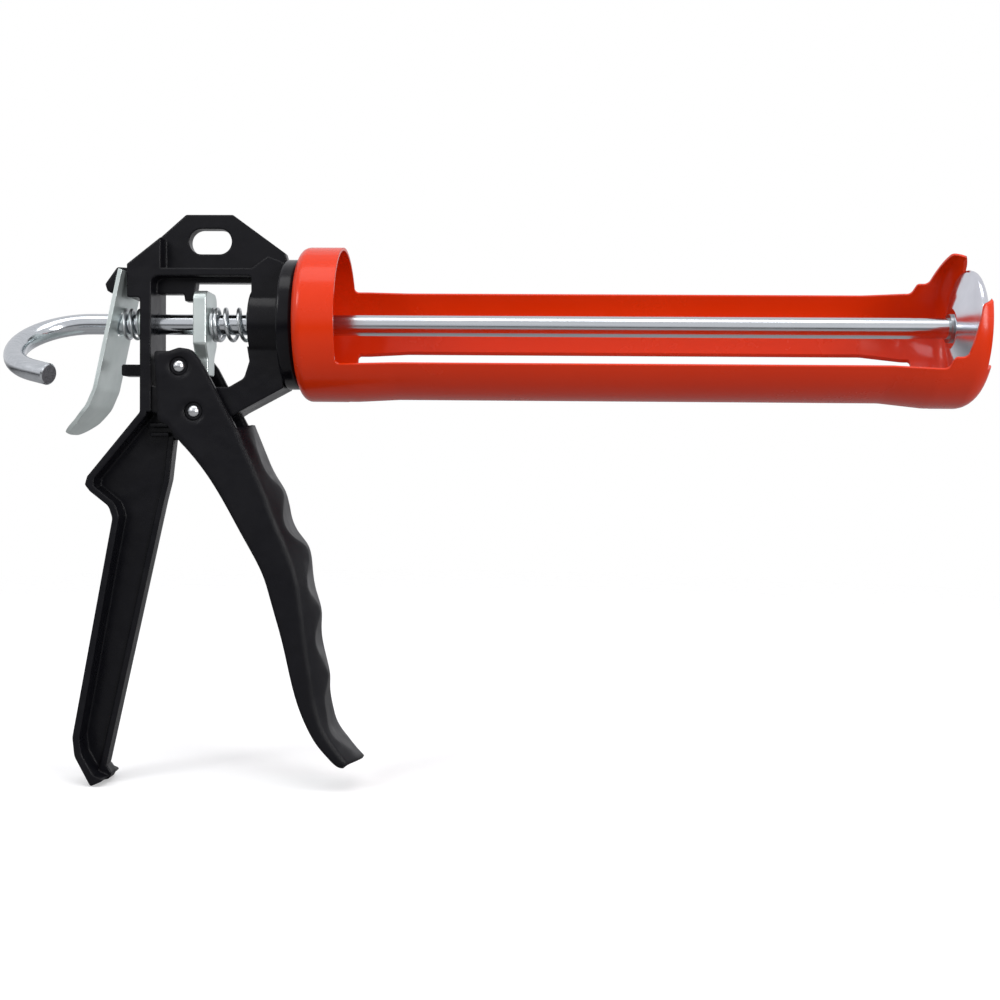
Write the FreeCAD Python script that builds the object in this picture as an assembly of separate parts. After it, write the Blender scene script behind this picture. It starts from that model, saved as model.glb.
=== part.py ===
"""Skeleton caulking gun with a swivelling half-open cradle, a smooth push rod and a thrust-ratio trigger.

Millimetres. +X runs forward along the push rod, +Z is up, and the handle hangs down.
The origin is on the rod's axis, on the inner face of the cradle's back wall, where a cartridge sits.
"""
import FreeCAD
import Part
import math
import os

V = FreeCAD.Vector
X_AXIS = V(1, 0, 0)
Y_AXIS = V(0, 1, 0)
Z_AXIS = V(0, 0, 1)
ORIGIN = V(0, 0, 0)

# ---- driving dimensions ----
ROD_R = 3.5
RUNNING = 0.05              # radial clearance of every running fit
BODY_HALF = 8.6             # half the thickness of the cast frame
CHEEK_IN = 9.0              # inner faces of the trigger's cheeks
CHEEK_OUT = 11.0            # outer faces of the trigger's cheeks
SHEET = 1.0                 # pressed steel of the cradle
RING_R = 26.0               # outside of the collar ring
STRAP_R = 25.3              # outside of the two straps
CUP_R = 26.8                # outside of the front cup
BACK_X = -1.2               # outer face of the collar's back wall
RING_X = 12.9               # front rim of the collar ring
GAP_BACK_X = 14.0           # the open strip between the two straps
GAP_FRONT_X = 210.0
CUP_FRONT_X = 224.5
LOAD_TURN = 34.0            # the loading side leans this far from straight up towards -Y
BUSH_R = 8.0                # outside of the bush that the cradle turns on
FLANGE_R = 21.9
FLANGE_BACK_X = -6.8
FLANGE_FRONT_X = -1.4
BOSS_R = 11.8
BOSS_BACK_X = -18.2
POST_BACK_X = -55.0
POST_FRONT_X = -51.3
PIVOT = (-36.3, -29.9)      # trigger pivot, x and z
THRUST = (-41.3, -14.9)     # thrust pin, x and z
PIN_R = 2.0
PLATE_BACK_X = -37.5
PLATE_THICK = 4.5
ROLLER_R = PLATE_BACK_X - THRUST[0] - RUNNING
LEVER_TOP = (-60.9, 16.6)   # where the release lever hangs, x and z
LEVER_TILT = 12.5           # degrees from upright
LEVER_THICK = 1.4
LEVER_HALF = 11.5
PEG_TIP_X = -63.0
HOOK_BEND_X = -74.0         # where the rod starts to bend
HOOK_BEND_R = 19.0          # centreline radius of the hook
HOOK_TURN = 155.0           # degrees through which the hook bends
HOOK_LEG = 7.0              # straight end of the hook
HOOK_LEAN = 60.0            # the hook's plane leans this far from straight down towards -Y
STUD_R = 2.5                # thin end of the rod that holds the plunger
STUD_X = 215.3
PLUNGER_R = 19.3
DRIVE_WIRE_R = 0.65
DRIVE_COIL_R = 5.3          # centreline radius of the drive spring
RELEASE_WIRE_R = 0.55
RELEASE_COIL_R = 4.9        # centreline radius of the release spring
SEAT_WASHER_X = -56.2


# ---- helpers ----
def wire_through(corners, place):
    """Closed wire through corners (a, b, radius); place(a, b) gives the point in space."""
    points = [place(a, b) for a, b, _ in corners]
    edges = []
    count = len(corners)
    ends = []
    for i in range(count):
        here = points[i]
        radius = corners[i][2]
        if radius == 0:
            ends.append((here, None, here))
            continue
        to_last = (points[i - 1] - here).normalize()
        to_next = (points[(i + 1) % count] - here).normalize()
        half = to_last.getAngle(to_next) / 2
        reach = radius / math.tan(half)
        middle = (to_last + to_next).normalize() * (radius / math.sin(half) - radius)
        ends.append((here + to_last * reach, here + middle, here + to_next * reach))
    for i in range(count):
        first, middle, last = ends[i]
        if middle is not None:
            edges.append(Part.Arc(first, middle, last).toShape())
        following = ends[(i + 1) % count][0]
        if last.distanceToPoint(following) > 1e-6:
            edges.append(Part.LineSegment(last, following).toShape())
    return Part.Wire(edges)


def slab(corners, y_low, y_high):
    """Outline of (x, z, radius) corners, from y_low to y_high."""
    face = Part.Face(wire_through(corners, lambda a, b: V(a, y_low, b)))
    return face.extrude(Y_AXIS * (y_high - y_low))


def slab_x(corners, x_low, x_high):
    """Outline of (y, z, radius) corners, from x_low to x_high."""
    face = Part.Face(wire_through(corners, lambda a, b: V(x_low, a, b)))
    return face.extrude(X_AXIS * (x_high - x_low))


def slab_z(corners, z_low, z_high):
    """Outline of (x, y, radius) corners, from z_low to z_high."""
    face = Part.Face(wire_through(corners, lambda a, b: V(a, b, z_low)))
    return face.extrude(Z_AXIS * (z_high - z_low))


def turned(corners):
    """Solid of revolution about the rod's axis from (x, r, radius) corners."""
    face = Part.Face(wire_through(corners, lambda a, b: V(a, 0, b)))
    return face.revolve(ORIGIN, X_AXIS, 360)


def disc_x(radius, x_low, x_high):
    return Part.makeCylinder(radius, x_high - x_low, V(x_low, 0, 0), X_AXIS)


def ring_x(outer, inner, x_low, x_high):
    return disc_x(outer, x_low, x_high).cut(disc_x(inner, x_low - 1, x_high + 1))


def rod_y(radius, centre, y_low, y_high):
    return Part.makeCylinder(radius, y_high - y_low, V(centre[0], y_low, centre[1]), Y_AXIS)


def merged(first, *others):
    return first.multiFuse(list(others)).removeSplitter()


def hexagon_x(across_flats, x_low, x_high):
    corner = across_flats / math.sqrt(3)
    corners = []
    for i in range(6):
        angle = math.radians(60 * i + 30)
        corners.append((corner * math.cos(angle), corner * math.sin(angle), 0))
    return slab_x(corners, x_low, x_high)


def coil(wire_r, coil_r, x_low, x_high, turns):
    """Round-wire spring about the rod, with its wire's centre between x_low and x_high."""
    length = x_high - x_low
    helix = Part.makeHelix(length / turns, length, coil_r)
    section = Part.Wire(Part.Circle(V(coil_r, 0, 0), Y_AXIS, wire_r).toShape())
    spring = Part.Wire(helix.Edges).makePipeShell([section], True, True)
    spring.rotate(ORIGIN, Y_AXIS, 90)
    spring.translate(X_AXIS * x_low)
    return spring


# ---- frame ----
def hang_plate():
    """Thin top plate with the hang slot."""
    plate = slab([(-62.0, 18.6, 0), (-41.2, 36.9, 1.5), (-25.2, 36.9, 1.5), (-7.4, 24.1, 0),
                  (FLANGE_BACK_X, 22.0, 0), (FLANGE_BACK_X, 14.0, 0), (-48.0, 14.0, 0)], -2.2, 2.2)
    slot_half = 4.3
    slot = slab([(-40.2, 27.9 - slot_half, slot_half - 0.01), (-25.6, 27.9 - slot_half, slot_half - 0.01),
                 (-25.6, 27.9 + slot_half, slot_half - 0.01), (-40.2, 27.9 + slot_half, slot_half - 0.01)],
                -4, 4)
    return plate.cut(slot)


def head_and_post():
    """Thick rear head, top bar, upright post and front column around the window."""
    head = slab([(-59.4, 17.8, 0), (-59.4, 19.3, 0), (-48.1, 28.2, 0), (-48.1, 18.0, 0), (-17.4, 18.0, 0),
                 (-12.0, 22.0, 1.5), (FLANGE_BACK_X, 20.0, 0), (FLANGE_BACK_X, 8.0, 0), (-17.4, 8.0, 0),
                 (-17.4, 15.5, 0.8), (POST_FRONT_X, 15.5, 2.6), (POST_FRONT_X, -30.0, 0),
                 (POST_BACK_X, -30.0, 0), (POST_BACK_X, 8.2, 1.0), (-59.4, 8.2, 0.8)],
                -BODY_HALF, BODY_HALF)
    boss = disc_x(BOSS_R, BOSS_BACK_X, FLANGE_BACK_X)
    gusset = slab([(POST_FRONT_X - 1, 16.5, 0), (POST_FRONT_X - 1, 10.2, 0), (-41.9, 10.2, 0.5),
                   (-41.5, 7.8, 0), (-38.6, 7.8, 0.8), (-37.8, 13.9, 0), (-37.8, 16.5, 0)], -2.2, 2.2)
    return [head, boss, gusset]


def lever_lug():
    """Small hooked lug that keeps the top of the release lever in place."""
    return slab([(-59.0, 18.6, 0), (-64.2, 18.9, 1.2), (-68.3, 13.2, 1.0), (-67.6, 10.9, 0.6),
                 (-65.9, 9.9, 0.6), (-64.2, 13.4, 0), (-63.3, 17.5, 0.6), (-59.0, 17.5, 0)], -4.0, 4.0)


def lower_arm():
    """Arm from the boss down to the trigger pivot, with the pivot hub."""
    return slab([(-19.0, -8.0, 0), (-18.2, -12.9, 1.5), (-20.0, -18.6, 3.0), (-25.2, -21.6, 2.5),
                 (POST_BACK_X + 1, -21.6, 0), (POST_BACK_X + 1, -29.5, 0), (-46.6, -31.0, 1.5),
                 (-43.6, -39.0, 1.0), (-38.4, -40.2, 4.0), (-29.0, -34.6, 6.0), (-21.8, -29.9, 0),
                 (FLANGE_BACK_X, -21.8, 0), (FLANGE_BACK_X, -8.0, 0)], -7.6, 7.6)


def grip_spine():
    """Wide rear spine of the handle, following the palm and turned in at its end."""
    return slab([(POST_BACK_X, -28.0, 0), (POST_BACK_X, -30.2, 1.5), (-72.9, -52.0, 1.0),
                 (-73.7, -54.8, 1.0), (-72.0, -57.0, 1.5), (-65.6, -62.0, 4.0), (-64.3, -66.0, 4.0),
                 (-66.9, -80.1, 0), (-78.0, -140.6, 6.0), (-77.3, -147.0, 5.0), (-71.8, -157.2, 0.8),
                 (-67.6, -155.3, 0.5), (-68.1, -154.6, 0), (-70.9, -153.4, 0.8), (-75.0, -146.2, 4.0),
                 (-75.7, -140.6, 4.0), (-64.8, -80.1, 0), (-62.0, -65.4, 4.0), (-63.6, -60.9, 3.0),
                 (-70.8, -55.2, 0.8), (-70.6, -52.6, 0.8), (-52.9, -31.2, 1.5), (-52.9, -28.0, 0)],
                -BODY_HALF, BODY_HALF)


def grip_web():
    """Thin middle wall of the handle, with a bead and a small toe at its front edge and two ribs."""
    web = slab([(-54.0, -28.5, 0), (-44.8, -28.5, 0), (-43.2, -39.3, 0), (-45.2, -39.5, 0),
                (-46.9, -53.1, 0), (-48.5, -59.9, 0), (-68.6, -151.5, 0), (-71.0, -154.5, 0),
                (-76.2, -146.6, 0), (-77.0, -140.6, 0), (-65.8, -80.1, 0), (-63.0, -65.7, 0),
                (-65.0, -61.3, 0), (-72.0, -56.0, 0), (-72.0, -52.6, 0)], -1.4, 1.4)
    bead = slab([(-45.1, -38.0, 0), (-46.8, -53.1, 6.0), (-48.5, -59.9, 6.0), (-68.9, -153.0, 0),
                 (-70.9, -152.6, 0), (-50.5, -60.1, 6.0), (-48.8, -53.3, 6.0), (-47.1, -38.0, 0)],
                -2.6, 2.6)
    toe = slab([(-70.8, -151.0, 0), (-68.2, -151.4, 0.6), (-66.6, -154.0, 1.0), (-67.5, -155.9, 0.8),
                (-71.6, -156.9, 0)], -2.6, 2.6)
    rib_low = slab([(-52.9, -37.0, 0), (-46.5, -37.0, 0), (-46.5, -38.2, 0), (-52.9, -38.2, 0)], -4.2, 4.2)
    rib_high = slab([(-52.9, -33.8, 0), (-46.5, -33.8, 0), (-46.5, -35.0, 0), (-52.9, -35.0, 0)], -5.2, 5.2)
    return [web, bead, toe, rib_low, rib_high]


def stop_peg():
    return slab([(POST_BACK_X + 1, -13.9, 0), (PEG_TIP_X, -13.9, 0.7), (PEG_TIP_X, -17.8, 0.7),
                 (POST_BACK_X + 1, -17.8, 0)], -3.0, 3.0)


def frame_body():
    body = merged(hang_plate(), *head_and_post(), lever_lug(), lower_arm(), grip_spine(), *grip_web(),
                  stop_peg())
    body = body.cut(disc_x(ROD_R + RUNNING, -60.0, -45.0))
    body = body.cut(disc_x(BUSH_R, -30.0, 0.0))
    return body.cut(rod_y(PIN_R + RUNNING, PIVOT, -20, 20)).removeSplitter()


def swivel_flange():
    """Dark ring between the frame and the turning cradle."""
    return turned([(FLANGE_BACK_X, BUSH_R, 0), (FLANGE_FRONT_X, BUSH_R, 0),
                   (FLANGE_FRONT_X, FLANGE_R - 0.8, 0.5), (FLANGE_FRONT_X - 1.2, FLANGE_R, 0.5),
                   (FLANGE_BACK_X, FLANGE_R, 1.2)])


def cradle_bush():
    """Steel tube pressed into the boss: guides the rod, and the cradle turns on it."""
    return ring_x(BUSH_R, ROD_R + RUNNING, BOSS_BACK_X + 0.2, 5.5)


def cradle_washer():
    return ring_x(12.0, BUSH_R, 0.05, 1.2)


def cradle_nut():
    return hexagon_x(21.0, 1.2, 4.8).cut(disc_x(BUSH_R, 0, 6))


# ---- cradle ----
def cradle_shell():
    """Whole pressed shell before its openings: back wall, ring, straps, cup and front wall."""
    front = CUP_FRONT_X
    outer = [(BACK_X, BUSH_R + RUNNING, 0), (BACK_X, RING_R, 3.4), (18.0, RING_R, 12.0),
             (32.0, STRAP_R, 12.0), (192.0, STRAP_R, 12.0), (207.0, CUP_R, 12.0), (front, CUP_R, 7.0),
             (front, 6.0, 0)]
    inner = [(front - SHEET, 6.0, 0), (front - SHEET, CUP_R - SHEET, 6.0), (207.0, CUP_R - SHEET, 12.0),
             (192.0, STRAP_R - SHEET, 12.0), (32.0, STRAP_R - SHEET, 12.0), (18.0, RING_R - SHEET, 12.0),
             (0.0, RING_R - SHEET, 2.3), (0.0, BUSH_R + RUNNING, 0)]
    return turned(outer + inner)


def loading_cut():
    """Everything above the straps' edges, the shoulders and the cup's two tabs."""
    return slab([(RING_X, 40.0, 0), (RING_X, -0.4, 1.5), (209.3, -0.4, 2.0), (210.9, 3.6, 1.2),
                 (214.6, 3.6, 2.0), (218.4, 18.4, 1.5), (223.0, 18.8, 0), (240.0, 18.8, 0),
                 (240.0, 40.0, 0)], -40, 40)


def cradle():
    shell = cradle_shell().cut(loading_cut())
    half = (STRAP_R - SHEET / 2) * math.sin(math.radians(39))
    gap = slab_z([(GAP_BACK_X, -half, 1.0), (GAP_FRONT_X, -half, 1.0), (GAP_FRONT_X, half, 1.0),
                  (GAP_BACK_X, half, 1.0)], -40, 0)
    nozzle_slot = slab_x([(-32.0, 30.0, 0), (-29.0, -0.5, 0), (-19.5, -2.5, 3.0), (-13.0, -11.5, 6.0),
                          (11.5, -11.5, 11.0), (17.5, 3.0, 5.0), (19.0, 12.0, 4.0), (16.0, 20.0, 0),
                          (15.5, 30.0, 0)], CUP_FRONT_X - 2.6, CUP_FRONT_X + 5)
    shape = shell.cut(gap).cut(nozzle_slot)
    shape.rotate(ORIGIN, X_AXIS, LOAD_TURN)
    return shape


# ---- push rod and plunger ----
def push_rod():
    straight = Part.makeCylinder(ROD_R, STUD_X - HOOK_BEND_X, V(HOOK_BEND_X, 0, 0), X_AXIS)
    stud = disc_x(STUD_R, STUD_X, 222.4)
    lean = math.radians(HOOK_LEAN)
    aside = V(0, -math.sin(lean), -math.cos(lean))
    turn = math.radians(HOOK_TURN)

    def on_bend(angle):
        back = X_AXIS * (HOOK_BEND_X - HOOK_BEND_R * math.sin(angle))
        return back + aside * (HOOK_BEND_R * (1 - math.cos(angle)))

    leg = X_AXIS * -math.cos(turn) + aside * math.sin(turn)
    bend = Part.Arc(on_bend(0), on_bend(turn / 2), on_bend(turn)).toShape()
    tail = Part.LineSegment(on_bend(turn), on_bend(turn) + leg * HOOK_LEG).toShape()
    section = Part.Wire(Part.Circle(on_bend(0), X_AXIS, ROD_R).toShape())
    hook = Part.Wire([bend, tail]).makePipeShell([section], True, True)
    tip = Part.makeCylinder(ROD_R, 40, on_bend(turn) + leg * (HOOK_LEG - 0.6), leg)
    cone = Part.makeCone(ROD_R, ROD_R - 0.6, 0.6, on_bend(turn) + leg * (HOOK_LEG - 0.6), leg)
    return merged(straight, stud, hook.cut(tip), cone)


def plunger_washer():
    return ring_x(4.8, STUD_R, STUD_X, 216.2)


def plunger_disc():
    """Dished steel disc with a rolled rim, hollow towards the cartridge."""
    return turned([(216.25, STUD_R + RUNNING, 0), (216.25, 6.4, 2.0), (220.2, 18.6, 1.0),
                   (221.0, PLUNGER_R, 0.8), (222.4, PLUNGER_R - 0.3, 1.0), (223.3, 17.4, 0.6),
                   (222.2, 16.6, 0.4), (221.2, 17.0, 0.6), (217.8, 6.6, 2.0),
                   (217.8, STUD_R + RUNNING, 0)])


def plunger_nut():
    return hexagon_x(8.0, 217.9, 221.6).cut(disc_x(STUD_R, 217, 223))


# ---- trigger ----
# Curves of (x, z) points, from the top of the grip down to its tip.
FINGER_CURVE = [(-18.4, -34.4), (-15.2, -44.1), (-11.2, -52.1), (-7.9, -56.4), (-7.1, -60.0), (-6.6, -65.5),
                (-3.6, -71.4), (0.3, -75.4), (1.3, -79.0), (1.3, -84.9), (2.6, -91.5), (4.7, -95.8),
                (5.0, -98.8), (4.3, -103.5), (5.0, -110.0), (7.2, -116.1), (8.0, -119.5), (7.5, -124.5),
                (8.3, -131.5), (10.0, -137.6), (13.6, -141.8), (19.3, -146.9)]
RIDGE_CURVE = [(-18.2, -34.0), (-12.5, -45.5), (-7.0, -57.4), (-2.3, -67.5), (1.3, -77.2), (3.4, -87.5),
               (5.2, -98.0), (6.8, -108.5), (8.2, -119.3), (9.9, -129.0), (12.9, -137.8), (16.0, -142.8),
               (20.2, -147.4)]
CREASE_CURVE = [(-21.9, -35.4), (-17.6, -45.5), (-12.9, -56.0), (-8.9, -66.9), (-4.5, -76.9), (-1.4, -85.8),
                (0.3, -96.0), (1.4, -105.4), (3.1, -116.8), (4.8, -127.0), (7.6, -135.8), (11.5, -142.0),
                (16.0, -147.6)]
BACK_CURVE = [(-40.3, -40.6), (-30.4, -52.8), (-18.9, -72.7), (-12.1, -86.0), (-10.1, -92.7), (-6.3, -106.0),
              (-0.9, -127.6), (2.6, -136.0), (6.0, -141.6), (9.3, -145.4), (11.6, -147.7),
              (13.2, -148.7), (14.8, -148.9)]


def smooth(points, y):
    spline = Part.BSplineCurve()
    spline.interpolate([V(x, y, z) for x, z in points])
    return spline.toShape()


def straight(first, last, y):
    return Part.LineSegment(V(first[0], y, first[1]), V(last[0], y, last[1])).toShape()


def grip_section(front, y):
    """Closed wire at y: a front curve, the tip, the back curve and the top."""
    return Part.Wire([smooth(front, y), straight(front[-1], BACK_CURVE[-1], y),
                      smooth(BACK_CURVE[::-1], y), straight(BACK_CURVE[0], front[0], y)])


def behind(curve, corners, half):
    """Slab behind a curve; corners close its outline from the curve's end back to its start."""
    outline = [curve[-1], *corners, curve[0]]
    sides = [straight(a, b, -half) for a, b in zip(outline, outline[1:])]
    return Part.Face(Part.Wire([smooth(curve, -half), *sides])).extrude(Y_AXIS * (2 * half))


def crowned_grip():
    """Grip with a crowned front, scalloped for four fingers and hollow from behind."""
    sections = []
    for y, share in ((-CHEEK_OUT, 1.0), (-6.5, 0.42), (-1.5, 0.0), (1.5, 0.0), (6.5, 0.42),
                     (CHEEK_OUT, 1.0)):
        front = [(rx + (cx - rx) * share, rz + (cz - rz) * share)
                 for (rx, rz), (cx, cz) in zip(RIDGE_CURVE, CREASE_CURVE)]
        sections.append(grip_section(front, y))
    scallops = behind(FINGER_CURVE, [(24.0, -151.1), (24.0, -165.0), (-60.0, -165.0), (-60.0, -20.0),
                                     (-18.4, -20.0)], CHEEK_OUT + 1)
    hollow_front = [(x - 0.8, z - 0.3) for x, z in CREASE_CURVE[:-1]]
    hollow = behind(hollow_front, [(-60.0, -142.3), (-60.0, -20.0), (-22.7, -20.0)], CHEEK_IN)
    return Part.makeLoft(sections, True, True).common(scallops).cut(hollow)


def trigger_cheek(side):
    """Flat side wall around the two pins, down to the grip."""
    low, high = sorted((side * CHEEK_IN, side * CHEEK_OUT))
    return slab([(-49.4, -9.9, 1.0), (-44.4, -9.9, 2.5), (-41.0, -8.7, 3.0), (-37.0, -9.3, 3.0),
                 (-33.2, -14.2, 3.0), (-21.9, -35.4, 0), (-19.8, -40.4, 0), (-30.0, -46.0, 0),
                 (-40.3, -40.6, 0), (-45.2, -34.4, 1.5), (-48.2, -33.0, 1.0)], low, high)


def trigger():
    body = merged(crowned_grip(), trigger_cheek(-1), trigger_cheek(1))
    for centre in (PIVOT, THRUST):
        body = body.cut(rod_y(PIN_R, centre, -20, 20))
        for side in (-1, 1):
            low, high = sorted((side * (CHEEK_OUT - 0.9), side * (CHEEK_OUT + 1)))
            body = body.cut(rod_y(3.2, centre, low, high))
    return body


def domed_pin(centre):
    """Pin across both cheeks with a shallow dome on each end."""
    shaft = rod_y(PIN_R, centre, -10.6, 10.6)
    for side in (-1, 1):
        dome = Part.makeSphere(2.4, V(centre[0], side * 9.274, centre[1]))
        keep_low, keep_high = sorted((side * 10.6, side * 12.0))
        shaft = shaft.fuse(dome.common(rod_y(PIN_R, centre, keep_low, keep_high)))
    return shaft.removeSplitter()


def pin_clip(centre, side):
    """Push-on ring in the cheek's recess that keeps a pin from sliding out."""
    low, high = sorted((side * (CHEEK_OUT - 0.9), side * (CHEEK_OUT - 0.55)))
    return rod_y(3.0, centre, low, high).cut(rod_y(PIN_R, centre, -20, 20))


def thrust_roller():
    return rod_y(ROLLER_R, THRUST, -6.0, 6.0).cut(rod_y(PIN_R + RUNNING, THRUST, -7, 7))


# ---- drive and release ----
def drive_plate():
    """Thick gripping plate: wide at the rod, with a narrow tongue down to the roller."""
    low = -17.6
    plate = slab_x([(-7.3, 11.0, 3.2), (7.3, 11.0, 3.2), (7.3, -7.0, 2.0), (4.2, -11.5, 2.0),
                    (4.2, low, 1.0), (-4.2, low, 1.0), (-4.2, -11.5, 2.0), (-7.3, -7.0, 2.0)],
                   PLATE_BACK_X, PLATE_BACK_X + PLATE_THICK)
    return plate.cut(disc_x(ROD_R + 0.3, -45, -25))


def drive_spring():
    return coil(DRIVE_WIRE_R, DRIVE_COIL_R, PLATE_BACK_X + PLATE_THICK + DRIVE_WIRE_R + 0.1,
                BOSS_BACK_X - DRIVE_WIRE_R - 0.1, 4.5)


def release_lever():
    """Bent strip that hangs from the lug, grips the rod, and ends in a thumb tab."""
    half = LEVER_THICK / 2
    # Along the strip: centre x and z, which way its front side faces, and the radius of the bend.
    bends = [(0.0, 0.6, 1.0, 0.0, 0.3), (0.3, -40.0, 1.0, 0.0, 9.0), (-0.9, -46.3, 0.93, -0.36, 9.0),
             (-3.9, -52.2, 0.80, -0.60, 9.0), (-8.0, -57.4, 0.75, -0.66, 0.3)]
    front = [(x + half * across, z + half * up, radius) for x, z, across, up, radius in bends]
    back = [(x - half * across, z - half * up, radius) for x, z, across, up, radius in reversed(bends)]
    strip = slab(front + back, -LEVER_HALF, LEVER_HALF)
    outline = slab_x([(-LEVER_HALF, 2.0, 0), (LEVER_HALF, 2.0, 0), (LEVER_HALF, -57.5, 9.5),
                      (-LEVER_HALF, -57.5, 9.5)], -20, 20)
    strip = strip.common(outline)
    strip = strip.cut(slab_x([(-4.6, 2.0, 0), (4.6, 2.0, 0), (4.6, -0.9, 0.5), (-4.6, -0.9, 0.5)], -5, 5))
    strip.rotate(ORIGIN, Y_AXIS, LEVER_TILT)
    strip.translate(V(LEVER_TOP[0], 0, LEVER_TOP[1]))
    return strip.cut(disc_x(ROD_R + 0.9, -80, -50))


def release_spring():
    return coil(RELEASE_WIRE_R, RELEASE_COIL_R, -62.1, SEAT_WASHER_X - RELEASE_WIRE_R - 0.1, 2.5)


def spring_seat():
    return ring_x(6.2, ROD_R + RUNNING, SEAT_WASHER_X, POST_BACK_X - 0.02)


PIECES = {
    "frame_body": frame_body,
    "swivel_flange": swivel_flange,
    "cradle_bush": cradle_bush,
    "cradle_washer": cradle_washer,
    "cradle_nut": cradle_nut,
    "cradle": cradle,
    "push_rod": push_rod,
    "plunger_washer": plunger_washer,
    "plunger_disc": plunger_disc,
    "plunger_nut": plunger_nut,
    "trigger": trigger,
    "pivot_pin": lambda: domed_pin(PIVOT),
    "thrust_pin": lambda: domed_pin(THRUST),
    "thrust_roller": thrust_roller,
    "drive_plate": drive_plate,
    "drive_spring": drive_spring,
    "release_lever": release_lever,
    "release_spring": release_spring,
    "spring_seat": spring_seat,
}
for pin, centre in (("pivot", PIVOT), ("thrust", THRUST)):
    for word, side in (("near", -1), ("far", 1)):
        PIECES[f"{pin}_clip_{word}"] = lambda centre=centre, side=side: pin_clip(centre, side)

os.makedirs("parts", exist_ok=True)
for name, make in PIECES.items():
    solid = make()
    solid.exportStep(f"parts/{name}.step")
    box = solid.BoundBox
    print(f"{name:18s} valid {solid.isValid()} solids {len(solid.Solids)} "
          f"volume {solid.Volume:9.1f} x {box.XMin:7.1f} {box.XMax:7.1f} "
          f"y {box.YMin:6.1f} {box.YMax:6.1f} z {box.ZMin:7.1f} {box.ZMax:6.1f}")
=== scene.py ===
# %% [markdown]
# # A skeleton caulking gun
# This lesson dresses a caulking gun for a studio picture. The mechanism, its sizes and its joints come
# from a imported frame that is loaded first, and every piece made here sits in that frame, in metres.
# +X runs forward along the push rod, +Z is up, and the handle hangs down.

# %% Load the frame
import math
import bmesh
import bpy
from mathutils import Matrix, Vector


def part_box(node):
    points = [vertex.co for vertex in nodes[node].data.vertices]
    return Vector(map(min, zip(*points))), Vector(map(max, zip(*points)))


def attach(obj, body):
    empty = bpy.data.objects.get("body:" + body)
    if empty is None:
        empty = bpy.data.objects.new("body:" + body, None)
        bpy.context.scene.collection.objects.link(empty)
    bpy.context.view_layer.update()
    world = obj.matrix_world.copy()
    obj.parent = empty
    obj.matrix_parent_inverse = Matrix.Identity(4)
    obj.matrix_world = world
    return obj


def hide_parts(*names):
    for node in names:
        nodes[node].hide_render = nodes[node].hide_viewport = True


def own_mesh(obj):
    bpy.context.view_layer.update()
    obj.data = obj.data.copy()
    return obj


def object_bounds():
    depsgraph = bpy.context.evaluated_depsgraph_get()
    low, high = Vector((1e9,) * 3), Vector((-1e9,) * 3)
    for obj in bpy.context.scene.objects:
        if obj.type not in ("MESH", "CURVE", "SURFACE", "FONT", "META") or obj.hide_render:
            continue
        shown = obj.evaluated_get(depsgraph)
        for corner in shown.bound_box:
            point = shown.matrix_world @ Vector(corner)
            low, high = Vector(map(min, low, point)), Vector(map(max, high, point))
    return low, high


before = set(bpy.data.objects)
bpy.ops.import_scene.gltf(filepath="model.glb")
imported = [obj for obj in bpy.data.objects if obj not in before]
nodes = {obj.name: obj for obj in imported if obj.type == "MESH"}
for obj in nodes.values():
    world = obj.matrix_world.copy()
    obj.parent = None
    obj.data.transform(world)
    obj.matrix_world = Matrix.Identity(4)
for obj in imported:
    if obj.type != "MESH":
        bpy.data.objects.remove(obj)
cad_low, cad_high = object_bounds()
print("frame box, mm:", [round(1000 * v, 1) for v in (*cad_low, *cad_high)])
mm = 0.001

# %% [markdown]
# ## Camera
# The gun is seen square on to its right side from less than half a metre, so near and far edges part
# clearly. A camera could be aimed by a constraint, but a position and three small angles are easier to
# read and to adjust one at a time. It needs no shift, because it looks near the middle of the gun.

# %% The camera
look_from = Vector((81.0, -430.2, -46.8)) * mm
turn_left, tip_up, roll = math.radians(1.99), math.radians(-1.60), math.radians(0.52)
camera = bpy.data.cameras.new("camera")
camera.sensor_width = 36.0
camera.lens = 45.6
camera_object = bpy.data.objects.new("camera", camera)
bpy.context.scene.collection.objects.link(camera_object)
bpy.context.scene.camera = camera_object
camera_object.matrix_world = (
    Matrix.Translation(look_from)
    @ Matrix.Rotation(turn_left, 4, "Z")
    @ Matrix.Rotation(math.radians(90) + tip_up, 4, "X")
    @ Matrix.Rotation(roll, 4, "Z")
)
print("lens", camera.lens, "mm from", [round(v, 3) for v in look_from])

# %% [markdown]
# ## Studio
# A pale floor passes just under the handle and fades out long before the horizon. The surroundings are
# pale above the level of the gun and dark below it, so the rod shows a bright band over a dark one.
# The floor looks pale to the camera but much greyer to the gun, or its glare would wash out the paint,
# and a little glow, again for the camera alone, keeps its shadows faint.

# %% Helpers for shader trees
def node_in(tree, kind, **values):
    """One new shader node with its input values set by name."""
    made = tree.nodes.new(kind)
    for name, value in values.items():
        made.inputs[name.replace("_", " ")].default_value = value
    return made


def ramp_between(tree, amount, first, second):
    """Colour that runs from first to second as amount runs from 0 to 1."""
    ramp = tree.nodes.new("ShaderNodeValToRGB")
    ramp.color_ramp.elements[0].color = (*first, 1)
    ramp.color_ramp.elements[1].color = (*second, 1)
    tree.links.new(amount, ramp.inputs["Fac"])
    return ramp


def spread_over(tree, value, from_low, from_high, to_low, to_high):
    """The value, moved from one range to another and held at its ends."""
    spread = tree.nodes.new("ShaderNodeMapRange")
    for label, number in zip(("From Min", "From Max", "To Min", "To Max"),
                             (from_low, from_high, to_low, to_high)):
        spread.inputs[label].default_value = number
    tree.links.new(value, spread.inputs["Value"])
    return spread.outputs["Result"]


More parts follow.
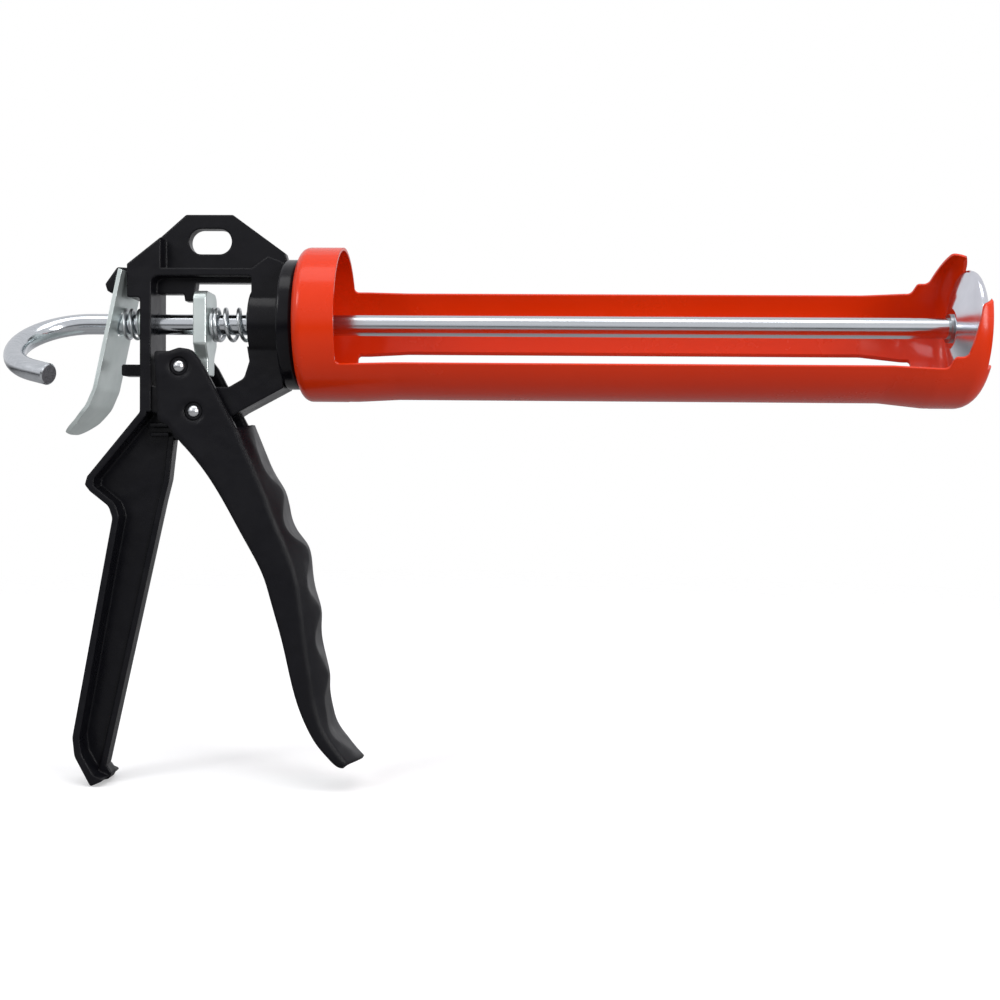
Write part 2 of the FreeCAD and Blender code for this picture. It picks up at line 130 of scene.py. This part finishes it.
# %% Floor
def studio_floor(size=4.0, gap=0.4 * mm):
    """Square sheet just under the lowest point of the gun."""
    sheet = bmesh.new()
    bmesh.ops.create_grid(sheet, x_segments=1, y_segments=1, size=size / 2)
    bmesh.ops.translate(sheet, verts=sheet.verts, vec=(60 * mm, 0, cad_low.z - gap))
    mesh = bpy.data.meshes.new("studio_floor")
    sheet.to_mesh(mesh)
    sheet.free()
    floor = bpy.data.objects.new("studio_floor", mesh)
    bpy.context.scene.collection.objects.link(floor)
    return floor


def floor_paint():
    """Pale and glowing to the camera, grey to the gun, and clear from fade_end metres outwards."""
    seen_dark, seen_pale, lighting = (0.76, 0.76, 0.76), (0.79, 0.79, 0.79), (0.32, 0.32, 0.32, 1)
    glow_seen, fade_start, fade_end = 0.30, 0.35, 0.9
    paint = bpy.data.materials.new("floor_paint")
    paint.use_nodes = True
    tree = paint.node_tree
    shader = tree.nodes["Principled BSDF"]
    shader.inputs["Roughness"].default_value = 0.95
    shader.inputs["Specular IOR Level"].default_value = 0.1
    place = tree.nodes.new("ShaderNodeTexCoord")
    mottle = node_in(tree, "ShaderNodeTexNoise", Scale=3.0, Detail=3.0)
    tree.links.new(place.outputs["Object"], mottle.inputs["Vector"])
    pale = ramp_between(tree, mottle.outputs["Fac"], seen_dark, seen_pale)
    path = tree.nodes.new("ShaderNodeLightPath")
    seen = tree.nodes.new("ShaderNodeMix")
    seen.data_type = "RGBA"
    seen.inputs["A"].default_value = lighting
    tree.links.new(path.outputs["Is Camera Ray"], seen.inputs["Factor"])
    tree.links.new(pale.outputs["Color"], seen.inputs["B"])
    tree.links.new(seen.outputs["Result"], shader.inputs["Base Color"])
    shader.inputs["Emission Color"].default_value = (1, 1, 1, 1)
    glow = spread_over(tree, path.outputs["Is Camera Ray"], 0.0, 1.0, 0.0, glow_seen)
    tree.links.new(glow, shader.inputs["Emission Strength"])
    reach = tree.nodes.new("ShaderNodeVectorMath")
    reach.operation = "LENGTH"
    tree.links.new(place.outputs["Object"], reach.inputs[0])
    fade = spread_over(tree, reach.outputs["Value"], fade_start, fade_end, 1.0, 0.0)
    tree.links.new(fade, shader.inputs["Alpha"])
    return paint


floor = studio_floor()
floor.data.materials.append(floor_paint())
print("floor under the gun at", round(1000 * cad_low.z, 1), "mm")


# %% Surroundings
def surroundings():
    """White to the camera; to the gun, bright above and straight behind, and dark below."""
    behind_glow, above_glow, below_glow = 0.60, 0.72, 0.06
    world = bpy.data.worlds.new("surroundings")
    world.use_nodes = True
    tree = world.node_tree
    tree.nodes.clear()
    place = tree.nodes.new("ShaderNodeTexCoord")
    parts = tree.nodes.new("ShaderNodeSeparateXYZ")
    tree.links.new(place.outputs["Generated"], parts.inputs[0])
    behind = spread_over(tree, parts.outputs["Y"], 0.50, 0.98, 0.0, behind_glow)
    above = spread_over(tree, parts.outputs["Z"], -0.14, 0.10, below_glow, above_glow)
    light = tree.nodes.new("ShaderNodeMath")
    light.operation = "MAXIMUM"
    tree.links.new(behind, light.inputs[0])
    tree.links.new(above, light.inputs[1])
    tint = ramp_between(tree, light.outputs[0], (0.0, 0.0, 0.0), (1.0, 1.0, 1.03))
    dim = tree.nodes.new("ShaderNodeBackground")
    tree.links.new(tint.outputs["Color"], dim.inputs["Color"])
    clean = node_in(tree, "ShaderNodeBackground", Color=(1, 1, 1, 1))
    path = tree.nodes.new("ShaderNodeLightPath")
    mix = tree.nodes.new("ShaderNodeMixShader")
    out = tree.nodes.new("ShaderNodeOutputWorld")
    tree.links.new(path.outputs["Is Camera Ray"], mix.inputs["Fac"])
    tree.links.new(dim.outputs[0], mix.inputs[1])
    tree.links.new(clean.outputs[0], mix.inputs[2])
    tree.links.new(mix.outputs[0], out.inputs["Surface"])
    bpy.context.scene.world = world
    return world


print("world:", surroundings().name)


# %% Lights
def soft_light(name, place, aim, width, height, power):
    """Rectangular softbox at place, turned to face aim; metres and watts."""
    light = bpy.data.lights.new(name, "AREA")
    light.shape = "RECTANGLE"
    light.size = width
    light.size_y = height
    light.energy = power
    lamp = bpy.data.objects.new(name, light)
    bpy.context.scene.collection.objects.link(lamp)
    lamp.location = place
    lamp.rotation_euler = (Vector(aim) - Vector(place)).to_track_quat("-Z", "Y").to_euler()
    return lamp


middle = (cad_low + cad_high) / 2
soft_light("top_box", (0.05, -0.3, 1.0), middle, 1.3, 0.5, 4.2)
soft_light("right_box", (1.05, -1.0, 0.25), middle, 0.5, 0.7, 10.0)
soft_light("left_box", (-0.95, -0.9, 0.75), middle, 0.4, 0.4, 4.5)
bpy.context.scene.view_settings.view_transform = "Standard"

# %% [markdown]
# ## Effects shared by several finishes
# Real finishes are never one flat tone. Each effect could be built again inside every material, but a
# node group is built once and then placed with different numbers. There are three: a fine orange-peel
# ripple for sprayed coats, streaks along the rod for drawn metal, and large faint smudges where hands
# have been. Each gives only a value or a normal.

# %% Shared effects
def effect_group(name, numbers, results):
    """Empty node group with a Vector input, float inputs with defaults, and the named outputs."""
    group = bpy.data.node_groups.new(name, "ShaderNodeTree")
    group.interface.new_socket("Vector", in_out="INPUT", socket_type="NodeSocketVector")
    for label, value in numbers.items():
        socket = group.interface.new_socket(label, in_out="INPUT", socket_type="NodeSocketFloat")
        socket.default_value = value
    for label, kind in results.items():
        group.interface.new_socket(label, in_out="OUTPUT", socket_type=kind)
    return group, group.nodes.new("NodeGroupInput"), group.nodes.new("NodeGroupOutput")


def make_ripple():
    """Small waves added to whatever normal comes in."""
    group, start, end = effect_group("coat_ripple", {"Scale": 900.0, "Strength": 0.1, "Depth": 0.0002},
                                     {"Normal": "NodeSocketVector"})
    under = group.interface.new_socket("Normal", in_out="INPUT", socket_type="NodeSocketVector")
    under.hide_value = True
    waves = node_in(group, "ShaderNodeTexNoise", Detail=2.0, Roughness=0.4)
    bump = group.nodes.new("ShaderNodeBump")
    group.links.new(start.outputs["Vector"], waves.inputs["Vector"])
    group.links.new(start.outputs["Scale"], waves.inputs["Scale"])
    group.links.new(start.outputs["Strength"], bump.inputs["Strength"])
    group.links.new(start.outputs["Depth"], bump.inputs["Distance"])
    group.links.new(waves.outputs["Fac"], bump.inputs["Height"])
    group.links.new(start.outputs["Normal"], bump.inputs["Normal"])
    group.links.new(bump.outputs["Normal"], end.inputs["Normal"])
    return group


def make_streaks():
    """Noise stretched along X, so it runs in fine lines down the rod."""
    group, start, end = effect_group("drawn_streaks", {"Along": 12.0, "Across": 1400.0},
                                     {"Value": "NodeSocketFloat"})
    stretch = group.nodes.new("ShaderNodeCombineXYZ")
    multiply = group.nodes.new("ShaderNodeVectorMath")
    multiply.operation = "MULTIPLY"
    lines = node_in(group, "ShaderNodeTexNoise", Scale=1.0, Detail=3.0, Roughness=0.6)
    group.links.new(start.outputs["Along"], stretch.inputs["X"])
    group.links.new(start.outputs["Across"], stretch.inputs["Y"])
    group.links.new(start.outputs["Across"], stretch.inputs["Z"])
    group.links.new(start.outputs["Vector"], multiply.inputs[0])
    group.links.new(stretch.outputs[0], multiply.inputs[1])
    group.links.new(multiply.outputs[0], lines.inputs["Vector"])
    group.links.new(lines.outputs["Fac"], end.inputs["Value"])
    return group


def make_smudges():
    """Soft clouds that drift between Low and High."""
    group, start, end = effect_group("hand_smudges", {"Scale": 45.0, "Low": 0.3, "High": 0.5},
                                     {"Value": "NodeSocketFloat"})
    clouds = node_in(group, "ShaderNodeTexNoise", Detail=5.0, Roughness=0.62)
    spread = group.nodes.new("ShaderNodeMapRange")
    spread.inputs["From Min"].default_value = 0.32
    spread.inputs["From Max"].default_value = 0.68
    group.links.new(start.outputs["Vector"], clouds.inputs["Vector"])
    group.links.new(start.outputs["Scale"], clouds.inputs["Scale"])
    group.links.new(clouds.outputs["Fac"], spread.inputs["Value"])
    group.links.new(start.outputs["Low"], spread.inputs["To Min"])
    group.links.new(start.outputs["High"], spread.inputs["To Max"])
    group.links.new(spread.outputs["Result"], end.inputs["Value"])
    return group


coat_ripple = make_ripple()
drawn_streaks = make_streaks()
hand_smudges = make_smudges()
print("effects:", [g.name for g in bpy.data.node_groups])

# %% [markdown]
# ## Finishes
# Four kinds of surface cover the gun: black enamel on the castings, glossy orange-red paint on the
# pressed cradle, bright zinc on the rod and stampings, and polished plating on the plunger and pins.
# Each finish keeps its constant numbers on the shader itself and links only what changes over the
# surface, so every number has one place.

# %% Helpers for a finish
def new_finish(name, **constants):
    """Material with a Principled shader, its constants set, and Object coordinates ready to use."""
    finish = bpy.data.materials.new(name)
    finish.use_nodes = True
    tree = finish.node_tree
    shader = tree.nodes["Principled BSDF"]
    for label, value in constants.items():
        shader.inputs[label.replace("_", " ")].default_value = value
    place = tree.nodes.new("ShaderNodeTexCoord")
    return finish, tree, shader, place.outputs["Object"]


def use_effect(tree, group, where, **values):
    """One shared effect placed in a material, with its own numbers."""
    made = tree.nodes.new("ShaderNodeGroup")
    made.node_tree = group
    tree.links.new(where, made.inputs["Vector"])
    for label, value in values.items():
        made.inputs[label].default_value = value
    return made


# %% [markdown]
# ## Black enamel
# The frame, the trigger and the ring are castings sprayed black. Enamel flows over a casting, so its
# edges look rounder than the metal and its flats are never quite flat. The roundness could be modelled,
# but a Bevel node gives it to the shading alone and leaves the sizes exact. Over it lie a slow swell
# from the casting and the fine ripple of the spray. The trigger's enamel is rounded most, because its
# front wraps round in a soft fold.

# %% Black enamel
def black_enamel(name="black_enamel", rough_low=0.22, rough_high=0.36, edge=0.9):
    """Black enamel whose shading is rounded over at every edge, by edge in millimetres."""
    darkest, palest = (0.0022, 0.0022, 0.0036), (0.0056, 0.0056, 0.0078)
    finish, tree, shader, where = new_finish(name, Metallic=0.0, Specular_IOR_Level=0.22)
    smudges = use_effect(tree, hand_smudges, where, Scale=55.0, Low=rough_low, High=rough_high)
    tree.links.new(smudges.outputs["Value"], shader.inputs["Roughness"])
    speckle = node_in(tree, "ShaderNodeTexNoise", Scale=320.0, Detail=3.0)
    tree.links.new(where, speckle.inputs["Vector"])
    colour = ramp_between(tree, speckle.outputs["Fac"], darkest, palest)
    tree.links.new(colour.outputs["Color"], shader.inputs["Base Color"])
    rounded = node_in(tree, "ShaderNodeBevel", Radius=edge * mm)
    rounded.samples = 6
    swell = use_effect(tree, coat_ripple, where, Scale=75.0, Strength=0.5, Depth=0.0012)
    ripple = use_effect(tree, coat_ripple, where, Scale=620.0, Strength=0.22, Depth=0.00012)
    tree.links.new(rounded.outputs["Normal"], swell.inputs["Normal"])
    tree.links.new(swell.outputs["Normal"], ripple.inputs["Normal"])
    tree.links.new(ripple.outputs["Normal"], shader.inputs["Normal"])
    return finish


cast_black = black_enamel()
flange_black = black_enamel("flange_black", 0.16, 0.24)
grip_black = black_enamel("grip_black", 0.26, 0.42, edge=2.6)
clip_black = black_enamel("clip_black", 0.45, 0.6)
print("enamels:", [m.name for m in (cast_black, flange_black, grip_black, clip_black)])

# %% [markdown]
# ## Orange-red paint
# The cradle is pressed steel under one thick, glossy coat. A separate clear layer could be drawn over
# it, but the shader's own coat gives the same second highlight. The colour drifts a little from place
# to place, as sprayed paint does, and the thin rims are shaded round.

# %% Orange-red paint
def orange_paint():
    thick, thin = (0.66, 0.026, 0.0012), (0.75, 0.038, 0.0024)
    finish, tree, shader, where = new_finish("orange_paint", Metallic=0.0, Specular_IOR_Level=0.22,
                                             Coat_Roughness=0.06, Coat_Weight=0.18)
    smudges = use_effect(tree, hand_smudges, where, Scale=28.0, Low=0.20, High=0.30)
    tree.links.new(smudges.outputs["Value"], shader.inputs["Roughness"])
    drift = node_in(tree, "ShaderNodeTexNoise", Scale=14.0, Detail=4.0)
    tree.links.new(where, drift.inputs["Vector"])
    colour = ramp_between(tree, drift.outputs["Fac"], thick, thin)
    tree.links.new(colour.outputs["Color"], shader.inputs["Base Color"])
    rounded = node_in(tree, "ShaderNodeBevel", Radius=0.4 * mm)
    rounded.samples = 6
    ripple = use_effect(tree, coat_ripple, where, Scale=260.0, Strength=0.10, Depth=0.00012)
    tree.links.new(rounded.outputs["Normal"], ripple.inputs["Normal"])
    tree.links.new(ripple.outputs["Normal"], shader.inputs["Normal"])
    return finish


cradle_paint = orange_paint()
print("cradle:", cradle_paint.name)

# %% [markdown]
# ## Zinc and polished plating
# The rod, the gripping plate, the release lever, the springs and the small hardware are zinc plated.
# They are all one recipe, a metal whose colour and roughness wander, so one function makes them, and
# its numbers tell a drawn rod from a cloudy stamping or a bright dish. The rod's hook was sawn off
# after plating, so its end is bare and dark. That end could be a separate disc, but a mask beyond the
# plane of the cut, kept close to its centre, needs no extra piece.

# %% Zinc and polished plating
def zinc(name, dark, light, rough_low, rough_high, along=None, metal=1.0):
    """Bright zinc plate; along stretches the pattern into streaks down the rod."""
    finish, tree, shader, where = new_finish(name, Metallic=metal)
    if along:
        pattern = use_effect(tree, drawn_streaks, where, Along=along, Across=1500.0).outputs["Value"]
    else:
        cloud = node_in(tree, "ShaderNodeTexNoise", Scale=160.0, Detail=5.0, Roughness=0.6)
        tree.links.new(where, cloud.inputs["Vector"])
        pattern = cloud.outputs["Fac"]
    tree.links.new(ramp_between(tree, pattern, dark, light).outputs["Color"], shader.inputs["Base Color"])
    smudges = use_effect(tree, hand_smudges, where, Scale=70.0, Low=rough_low, High=rough_high)
    tree.links.new(smudges.outputs["Value"], shader.inputs["Roughness"])
    bump = node_in(tree, "ShaderNodeBump", Strength=0.12, Distance=0.00005)
    tree.links.new(pattern, bump.inputs["Height"])
    tree.links.new(bump.outputs["Normal"], shader.inputs["Normal"])
    return finish


def saw_cut(finish, centre, facing, inner=4.6 * mm, outer=4.8 * mm):
    """Bare grey steel where a rod ends at centre, on the side it faces, no further off than outer."""
    depth_start, depth_end = -0.20 * mm, -0.10 * mm
    pitted, bright = (0.015, 0.015, 0.017), (0.26, 0.26, 0.28)
    tree = finish.node_tree
    shader = tree.nodes["Principled BSDF"]
    place = tree.nodes.new("ShaderNodeTexCoord")
    offset = tree.nodes.new("ShaderNodeVectorMath")
    offset.operation = "SUBTRACT"
    offset.inputs[1].default_value = centre
    tree.links.new(place.outputs["Object"], offset.inputs[0])
    reach = tree.nodes.new("ShaderNodeVectorMath")
    reach.operation = "DOT_PRODUCT"
    reach.inputs[1].default_value = facing
    tree.links.new(offset.outputs["Vector"], reach.inputs[0])
    past = spread_over(tree, reach.outputs["Value"], depth_start, depth_end, 0.0, 1.0)
    distance = tree.nodes.new("ShaderNodeVectorMath")
    distance.operation = "LENGTH"
    tree.links.new(offset.outputs["Vector"], distance.inputs[0])
    mask = spread_over(tree, distance.outputs["Value"], inner, outer, 1.0, 0.0)
    tree.links.new(past, mask.node.inputs["To Min"])
    grain = node_in(tree, "ShaderNodeTexNoise", Scale=1100.0, Detail=4.0, Distortion=1.5)
    tree.links.new(place.outputs["Object"], grain.inputs["Vector"])
    steel = ramp_between(tree, grain.outputs["Fac"], pitted, bright)
    mix = tree.nodes.new("ShaderNodeMix")
    mix.data_type = "RGBA"
    plated = shader.inputs["Base Color"].links[0].from_socket
    tree.links.new(mask, mix.inputs["Factor"])
    tree.links.new(plated, mix.inputs["A"])
    tree.links.new(steel.outputs["Color"], mix.inputs["B"])
    tree.links.new(mix.outputs["Result"], shader.inputs["Base Color"])
    metal = spread_over(tree, mask, 0.0, 1.0, 1.0, 0.35)
    tree.links.new(metal, shader.inputs["Metallic"])


rod_zinc = zinc("rod_zinc", (0.52, 0.55, 0.58), (0.80, 0.83, 0.86), 0.13, 0.22, along=9.0)
hook_end, hook_end_facing = Vector((-75.7, -33.9, -19.6)) * mm, (0.906, -0.366, -0.211)
saw_cut(rod_zinc, hook_end, hook_end_facing)
plate_zinc = zinc("plate_zinc", (0.62, 0.70, 0.68), (0.82, 0.88, 0.86), 0.28, 0.42, metal=0.8)
hub_zinc = zinc("hub_zinc", (0.26, 0.28, 0.29), (0.50, 0.52, 0.53), 0.25, 0.38)
disc_plating = zinc("disc_plating", (0.68, 0.69, 0.75), (0.86, 0.87, 0.93), 0.12, 0.20)
spring_wire = zinc("spring_wire", (0.50, 0.53, 0.54), (0.76, 0.78, 0.80), 0.24, 0.34, metal=0.85)
pin_polish = zinc("pin_polish", (0.66, 0.68, 0.70), (0.82, 0.83, 0.85), 0.20, 0.28)
print("finishes:", len(bpy.data.materials))

# %% [markdown]
# ## Pieces with softened edges
# A casting or a stamping has no knife edges: its corners are rounded by a few tenths of a millimetre
# and catch a thin line of light. The frame's pieces are exact but sharp, so a copy is merged into one
# skin, its flat faces are joined, and its sharp edges are bevelled. A Bevel modifier would do the same,
# but here the edges to be cut are chosen by their own angle and counted. The bevel is small enough that
# the size doesn't change.

# %% Softened copies
def softened(node, name, body, finish, width, segments=2, sharpest=28.0):
    """Copy of a node whose edges over sharpest degrees are bevelled by width millimetres."""
    skin = bmesh.new()
    skin.from_mesh(nodes[node].data)
    bmesh.ops.remove_doubles(skin, verts=skin.verts, dist=0.002 * mm)
    bmesh.ops.dissolve_limit(skin, angle_limit=math.radians(0.5), use_dissolve_boundaries=False,
                             verts=skin.verts, edges=skin.edges, delimit={"NORMAL"})
    limit = math.radians(sharpest)
    edges = [e for e in skin.edges if e.is_manifold and e.calc_face_angle(0.0) > limit]
    bmesh.ops.bevel(skin, geom=edges, offset=width * mm, offset_type="OFFSET", affect="EDGES",
                    segments=segments, profile=0.5, clamp_overlap=True, material=-1)
    mesh = bpy.data.meshes.new(name)
    skin.to_mesh(mesh)
    skin.free()
    mesh.materials.clear()
    mesh.materials.append(finish)
    for face in mesh.polygons:
        face.use_smooth = True
        face.material_index = 0
    mesh.set_sharp_from_angle(angle=math.radians(40))
    piece = bpy.data.objects.new(name, mesh)
    bpy.context.scene.collection.objects.link(piece)
    even = piece.modifiers.new("even_normals", "WEIGHTED_NORMAL")
    even.keep_sharp = True
    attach(piece, body)
    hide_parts(node)
    print(name, len(mesh.polygons), "faces from", len(edges), "edges")
    return piece


for node, body, finish, width in (
    ("frame_body", "frame", cast_black, 0.45),
    ("trigger", "trigger", grip_black, 0.8),
    ("drive_plate", "drive_plate", plate_zinc, 0.5),
    ("release_lever", "release_lever", plate_zinc, 0.3),
):
    softened(node, node + "_soft", body, finish, width)

# %% [markdown]
# ## Springs
# A compression spring has closed coils at its ends and open ones between. It could be a bevelled curve,
# but spinning is closer to how one is wound: a small ring of wire is spun about the rod three times,
# with almost no advance for the end coils and an even advance for the middle, and both ends are closed.

# %% Wound springs
def wound_spring(name, node, body, wire_r, coil_r, turns):
    """Spring that fills its node's box along X; wire_r and coil_r are in millimetres."""
    wire_sides, steps_per_turn, closed_pitch = 12, 36, 1.03
    low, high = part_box(node)
    first_end, middle_turns, last_end = turns
    wire = bmesh.new()
    bmesh.ops.create_circle(wire, segments=wire_sides, radius=wire_r * mm)
    bmesh.ops.rotate(wire, verts=wire.verts, cent=(0, 0, 0), matrix=Matrix.Rotation(math.pi / 2, 3, "X"))
    bmesh.ops.translate(wire, verts=wire.verts, vec=(low.x + wire_r * mm, 0, coil_r * mm))
    closed = 2 * wire_r * mm * closed_pitch
    length = (high.x - low.x) - 2 * wire_r * mm
    open_length = length - closed * (first_end + last_end)
    latest = wire.edges[:]
    for count, advance in ((first_end, closed * first_end), (middle_turns, open_length),
                           (last_end, closed * last_end)):
        steps = int(steps_per_turn * count)
        spun = bmesh.ops.spin(wire, geom=latest, cent=(0, 0, 0), axis=(1, 0, 0),
                              dvec=(advance / steps, 0, 0), angle=2 * math.pi * count, steps=steps,
                              use_merge=False, use_normal_flip=False, use_duplicate=False)
        latest = [g for g in spun["geom_last"] if isinstance(g, bmesh.types.BMEdge)]
    bmesh.ops.holes_fill(wire, edges=wire.edges, sides=0)
    bmesh.ops.recalc_face_normals(wire, faces=wire.faces)
    mesh = bpy.data.meshes.new(name)
    wire.to_mesh(mesh)
    wire.free()
    mesh.materials.append(spring_wire)
    for face in mesh.polygons:
        face.use_smooth = True
    mesh.set_sharp_from_angle(angle=math.radians(50))
    piece = bpy.data.objects.new(name, mesh)
    bpy.context.scene.collection.objects.link(piece)
    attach(piece, body)
    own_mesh(piece)
    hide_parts(node)
    print(name, len(mesh.polygons), "faces")
    return piece


wound_spring("drive_spring_wound", "drive_spring", "frame", wire_r=0.65, coil_r=5.3,
             turns=(1.5, 2.3, 0.7))
wound_spring("release_spring_wound", "release_spring", "frame", wire_r=0.55, coil_r=4.9,
             turns=(0.6, 1.3, 0.6))

# %% [markdown]
# ## Finishes on the pieces that keep their shape
# Turned and formed pieces come out of the frame already round, and the cradle's sheet is too thin to
# bevel cleanly, so they could only lose by being remade. They keep their shape and get their finish.

# %% Finish the remaining pieces
kept = {
    "swivel_flange": flange_black,
    "cradle_bush": plate_zinc,
    "cradle_washer": plate_zinc,
    "cradle_nut": hub_zinc,
    "cradle": cradle_paint,
    "push_rod": rod_zinc,
    "plunger_washer": hub_zinc,
    "plunger_disc": disc_plating,
    "plunger_nut": hub_zinc,
    "pivot_pin": pin_polish,
    "thrust_pin": pin_polish,
    "thrust_roller": plate_zinc,
    "spring_seat": plate_zinc,
    "pivot_clip_near": clip_black,
    "pivot_clip_far": clip_black,
    "thrust_clip_near": clip_black,
    "thrust_clip_far": clip_black,
}
for node, finish in kept.items():
    for place in nodes[node].material_slots:
        place.material = finish
print("pieces that keep their shape:", len(kept))
